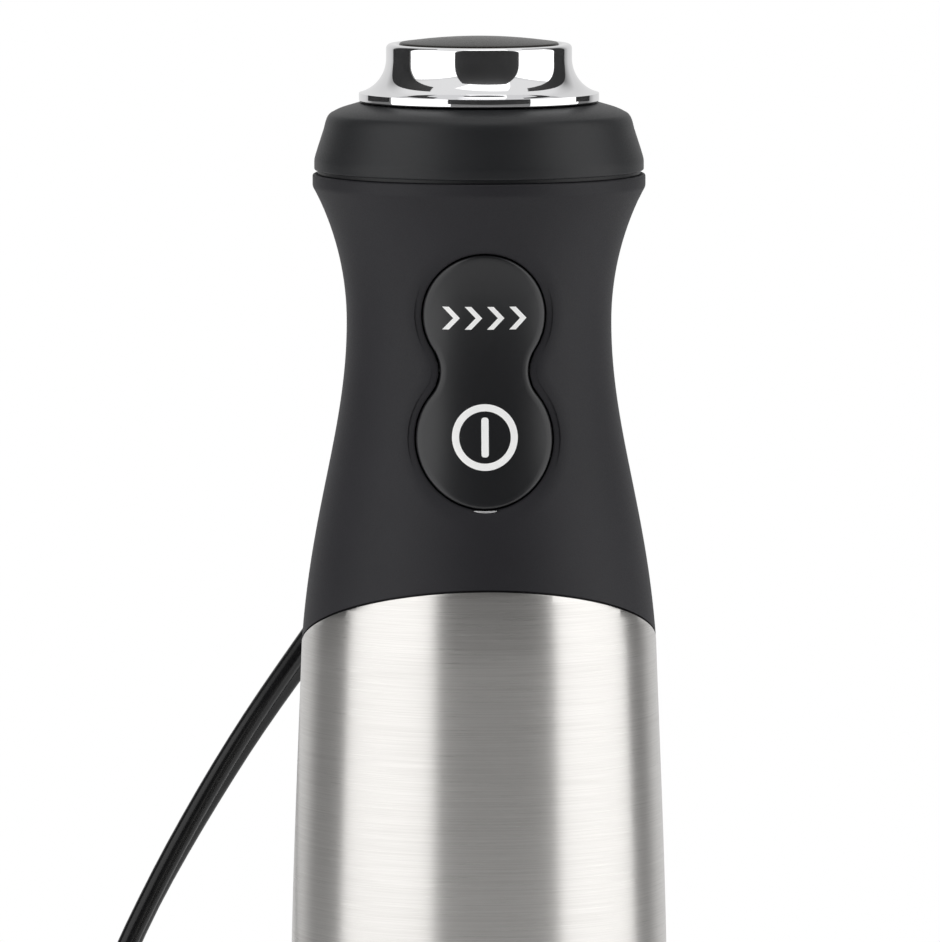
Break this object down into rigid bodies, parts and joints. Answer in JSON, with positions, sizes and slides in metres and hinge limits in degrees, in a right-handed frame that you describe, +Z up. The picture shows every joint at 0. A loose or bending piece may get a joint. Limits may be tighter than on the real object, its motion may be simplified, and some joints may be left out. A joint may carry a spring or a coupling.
{
  "type": "immersion blender",
  "caption": "Upright stick blender with a steel-sleeved handle, black grip, two-lobe rocker switch, speed dial, pull-off wand with a bell guard, and a mains lead.",
  "frame": {"origin": "middle of the bell's rim, on the surface it stands on", "axes": "+Z up the handle towards the dial, -Y the side with the buttons, +X to the right seen from the buttons"},
  "size_m": [0.1438, 0.1387, 0.4],
  "materials": {
    "chrome_trim": "polished",
    "soft_touch_black": "matt soft-touch",
    "gloss_black": "satin",
    "collar_black": "satin",
    "brushed_steel": "brushed round the axis",
    "housing_grey": "moulded",
    "bright_steel": "machined",
    "blade_steel": "ground",
    "brass": "machined",
    "copper": "enamelled wire",
    "lamination": "stacked sheets",
    "rubber": "moulded",
    "circuit_board": "varnished",
    "component": "moulded",
    "heat_sink_alloy": "extruded",
    "carbon": "pressed",
    "cord_black": "smooth flexible"
  },
  "bodies": {
    "root": {"top_collar": "collar_black", "speed_pot": "housing_grey", "pot_nut": "brass", "grip_front": "soft_touch_black", "grip_rear": "soft_touch_black", "steel_sleeve": "brushed_steel", "motor_housing": "housing_grey", "lower_collar": "collar_black", "collar_screws": "bright_steel", "rocker_pin": "bright_steel", "button_seal": "rubber", "switch_carrier": "housing_grey", "switch_board": "circuit_board", "micro_switches": "housing_grey", "control_board": "circuit_board", "triac": "component", "heat_sink": "heat_sink_alloy", "capacitor": "component", "terminal_block": "housing_grey", "stator_stack": "lamination", "field_coils": "copper", "upper_bracket": "housing_grey", "lower_bracket": "housing_grey", "motor_screws": "bright_steel", "mount_ring_upper": "rubber", "mount_ring_lower": "rubber", "motor_bearings": "bright_steel", "brush_holders": "brass", "carbon_brushes": "carbon", "brush_springs": "bright_steel", "latch_ring": "bright_steel", "strain_relief": "cord_black", "cord_lead": "cord_black", "cord_coil": "cord_black", "cord_tail": "cord_black", "cord_plug": "cord_black", "cord_tie": "cord_black"},
    "dial": {"dial_ring": "chrome_trim", "dial_cap": "gloss_black", "dial_hub": "collar_black", "pot_shaft": "bright_steel"},
    "rocker": {"rocker_button": "gloss_black"},
    "on_plunger": {"on_plunger": "housing_grey"},
    "turbo_plunger": {"turbo_plunger": "housing_grey"},
    "rotor": {"motor_shaft": "bright_steel", "armature_core": "lamination", "armature_windings": "copper", "commutator": "copper", "cooling_fan": "housing_grey", "drive_dog": "bright_steel"},
    "wand": {"wand_collar": "collar_black", "wand_tube": "brushed_steel", "bell_guard": "brushed_steel", "wand_bush": "brass", "shaft_seal": "rubber"},
    "shaft": {"drive_shaft": "bright_steel", "shaft_coupling": "housing_grey", "blade": "blade_steel"},
    "release_left": {"release_button_left": "gloss_black"},
    "release_right": {"release_button_right": "gloss_black"}
  },
  "joints": [
    {"name": "dial_turn", "type": "hinge", "parent": "root", "child": "dial", "pos_m": [0, 0, 0.39], "axis": [0, 0, 1], "range_deg": [-135, 135]},
    {"name": "rocker_tilt", "type": "hinge", "parent": "root", "child": "rocker", "pos_m": [0, -0.0196, 0.343], "axis": [1, 0, 0], "range_deg": [-3, 3], "stiffness_Nm_per_rad": 0.7},
    {"name": "on_press", "type": "slide", "parent": "root", "child": "on_plunger", "axis": [0, 1, 0], "range_m": [-0.00066, 0.00066]},
    {"name": "turbo_press", "type": "slide", "parent": "root", "child": "turbo_plunger", "axis": [0, 1, 0], "range_m": [-0.00066, 0.00066]},
    {"name": "rotor_spin", "type": "hinge", "parent": "root", "child": "rotor", "pos_m": [0, 0, 0.247], "axis": [0, 0, 1], "continuous": true},
    {"name": "wand_pull", "type": "slide", "parent": "root", "child": "wand", "axis": [0, 0, -1], "range_m": [0, 0.04], "deforming": ["latch_ring"]},
    {"name": "shaft_spin", "type": "hinge", "parent": "wand", "child": "shaft", "pos_m": [0, 0, 0.1], "axis": [0, 0, 1], "continuous": true},
    {"name": "release_left_press", "type": "slide", "parent": "root", "child": "release_left", "axis": [1, 0, 0], "range_m": [0, 0.0016], "stiffness_N_per_m": 900, "springref_m": -0.001, "deforming": ["latch_ring"]},
    {"name": "release_right_press", "type": "slide", "parent": "root", "child": "release_right", "axis": [-1, 0, 0], "range_m": [0, 0.0016], "stiffness_N_per_m": 900, "springref_m": -0.001, "deforming": ["latch_ring"]}
  ],
  "couplings": [
    {"joint": "on_press", "follows": "rocker_tilt", "m_per_rad": 0.012},
    {"joint": "turbo_press", "follows": "rocker_tilt", "m_per_rad": -0.012},
    {"joint": "shaft_spin", "follows": "rotor_spin", "ratio": 1}
  ]
}
